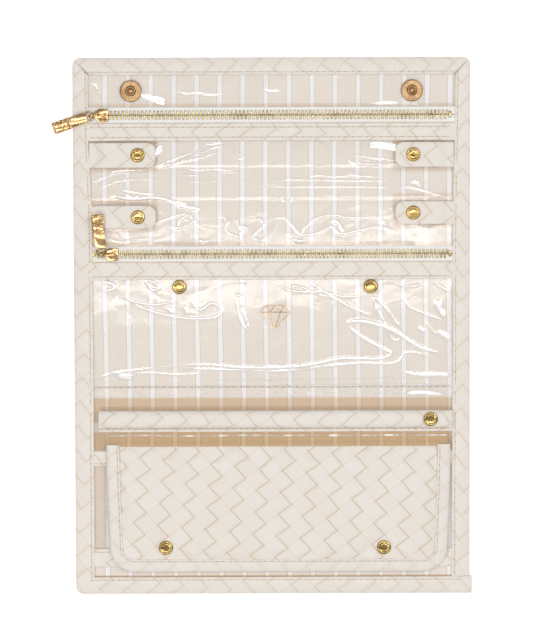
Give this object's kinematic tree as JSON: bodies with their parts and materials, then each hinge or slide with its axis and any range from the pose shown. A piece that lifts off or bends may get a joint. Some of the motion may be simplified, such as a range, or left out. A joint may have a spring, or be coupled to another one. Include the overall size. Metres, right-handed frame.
{
  "type": "jewelry case",
  "caption": "Fold-up travel jewelry case, open and flat: woven leather cover, striped lining, clear zip and snap pockets, snap tabs, ring bar and a padded flap pocket.",
  "frame": {"origin": "middle of the underside of the open case, on the surface it lies on", "axes": "+X to the right and +Y towards the magnetic snaps, along the case's length, with the pockets facing +Z"},
  "size_m": [0.2695, 0.3458, 0.0118],
  "materials": {
    "woven_leather": "cream woven-pattern coated leather, satin",
    "edge_leather": "cream woven-pattern coated leather, folded and stitched",
    "striped_lining": "blush twill with white stripes",
    "foam": "soft foam sheet, hidden",
    "clear_vinyl": "clear soft vinyl sheet",
    "zip_tape": "off-white woven tape",
    "gold_metal": "polished gold-coloured metal",
    "antique_metal": "brushed antique gold-coloured metal"
  },
  "bodies": {
    "middle_panel": {"middle_cover": "woven_leather", "middle_padding": "foam", "middle_lining": "striped_lining", "middle_bindings": "edge_leather", "middle_clear_front": "clear_vinyl", "lower_zip_tapes": "zip_tape", "lower_zip_teeth": "gold_metal", "lower_trim": "woven_leather", "snap_pocket_front": "clear_vinyl", "snap_pocket_caps": "gold_metal", "middle_snap_studs": "gold_metal", "lower_tab_roots": "woven_leather"},
    "upper_spine": {"upper_spine_cover": "woven_leather", "upper_spine_lining": "striped_lining", "upper_spine_bindings": "edge_leather", "upper_spine_clear": "clear_vinyl"},
    "top_panel": {"top_cover": "woven_leather", "top_padding": "foam", "top_lining": "striped_lining", "top_bindings": "edge_leather", "top_clear_strip": "clear_vinyl", "upper_zip_tapes": "zip_tape", "upper_zip_teeth": "gold_metal", "upper_trim": "woven_leather", "top_clear_front": "clear_vinyl", "magnet_studs": "antique_metal", "top_snap_studs": "gold_metal", "upper_tab_roots": "woven_leather"},
    "lower_spine": {"lower_spine_cover": "woven_leather", "lower_spine_lining": "striped_lining", "lower_spine_bindings": "edge_leather"},
    "bottom_panel": {"bottom_cover": "woven_leather", "bottom_padding": "foam", "bottom_lining": "striped_lining", "bottom_bindings": "edge_leather", "box_pocket_trims": "woven_leather", "box_pocket_clear": "clear_vinyl", "magnet_sockets": "antique_metal", "bottom_snap_studs": "gold_metal", "flap_root": "woven_leather"},
    "upper_left_tab_body": {"upper_left_tab": "woven_leather", "upper_left_snap": "gold_metal"},
    "upper_right_tab_body": {"upper_right_tab": "woven_leather", "upper_right_snap": "gold_metal"},
    "lower_left_tab_body": {"lower_left_tab": "woven_leather", "lower_left_snap": "gold_metal"},
    "lower_right_tab_body": {"lower_right_tab": "woven_leather", "lower_right_snap": "gold_metal"},
    "flap": {"flap_cover": "woven_leather", "flap_padding": "foam", "flap_lining": "striped_lining", "flap_binding": "edge_leather", "flap_snaps": "gold_metal"},
    "ring_bar": {"ring_bar_cover": "woven_leather", "ring_bar_core": "foam", "ring_bar_snap": "gold_metal"},
    "upper_zip_slider": {"upper_slider": "gold_metal"},
    "upper_zip_pull": {"upper_pull": "gold_metal"},
    "lower_zip_slider": {"lower_slider": "gold_metal"},
    "lower_zip_pull": {"lower_pull": "gold_metal"}
  },
  "joints": [
    {"name": "middle_to_upper_spine", "type": "hinge", "parent": "middle_panel", "child": "upper_spine", "pos_m": [0, 0.08105, 0.0038], "axis": [1, 0, 0], "range_deg": [0, 90]},
    {"name": "upper_spine_to_top", "type": "hinge", "parent": "upper_spine", "child": "top_panel", "pos_m": [0, 0.10185, 0.0038], "axis": [1, 0, 0], "range_deg": [0, 90]},
    {"name": "middle_to_lower_spine", "type": "hinge", "parent": "middle_panel", "child": "lower_spine", "pos_m": [0, -0.04095, 0.0038], "axis": [-1, 0, 0], "range_deg": [0, 90]},
    {"name": "lower_spine_to_bottom", "type": "hinge", "parent": "lower_spine", "child": "bottom_panel", "pos_m": [0, -0.05295, 0.0038], "axis": [-1, 0, 0], "range_deg": [0, 90]},
    {"name": "upper_left_tab_lift", "type": "hinge", "parent": "top_panel", "child": "upper_left_tab_body", "pos_m": [-0.1067, 0, 0.0066], "axis": [0, 1, 0], "range_deg": [-90, 0]},
    {"name": "upper_right_tab_lift", "type": "hinge", "parent": "top_panel", "child": "upper_right_tab_body", "pos_m": [0.1067, 0, 0.0066], "axis": [0, -1, 0], "range_deg": [-90, 0]},
    {"name": "lower_left_tab_lift", "type": "hinge", "parent": "middle_panel", "child": "lower_left_tab_body", "pos_m": [-0.1067, 0, 0.0066], "axis": [0, 1, 0], "range_deg": [-90, 0]},
    {"name": "lower_right_tab_lift", "type": "hinge", "parent": "middle_panel", "child": "lower_right_tab_body", "pos_m": [0.1067, 0, 0.0066], "axis": [0, -1, 0], "range_deg": [-90, 0]},
    {"name": "flap_lift", "type": "hinge", "parent": "bottom_panel", "child": "flap", "pos_m": [0, -0.07505, 0.0067], "axis": [1, 0, 0], "range_deg": [-135, 0]},
    {"name": "ring_bar_lift", "type": "hinge", "parent": "bottom_panel", "child": "ring_bar", "pos_m": [-0.1132, -0.06025, 0.0039], "axis": [0, 1, 0], "range_deg": [-90, 0]},
    {"name": "upper_zip_slide", "type": "slide", "parent": "top_panel", "child": "upper_zip_slider", "axis": [1, 0, 0], "range_m": [0, 0.2165]},
    {"name": "lower_zip_slide", "type": "slide", "parent": "middle_panel", "child": "lower_zip_slider", "axis": [1, 0, 0], "range_m": [0, 0.2105]},
    {"name": "upper_pull_swing", "type": "hinge", "parent": "upper_zip_slider", "child": "upper_zip_pull", "pos_m": [-0.1149, 0.13605, 0.0069], "axis": [0.3338, -0.9426, 0], "range_deg": [-140, 0]},
    {"name": "lower_pull_swing", "type": "hinge", "parent": "lower_zip_slider", "child": "lower_zip_pull", "pos_m": [-0.109, 0.04705, 0.0069], "axis": [-0.9936, -0.1132, 0], "range_deg": [-140, 0]}
  ],
  "couplings": [
    {"joint": "upper_spine_to_top", "follows": "middle_to_upper_spine", "ratio": 1},
    {"joint": "lower_spine_to_bottom", "follows": "middle_to_lower_spine", "ratio": 1}
  ]
}
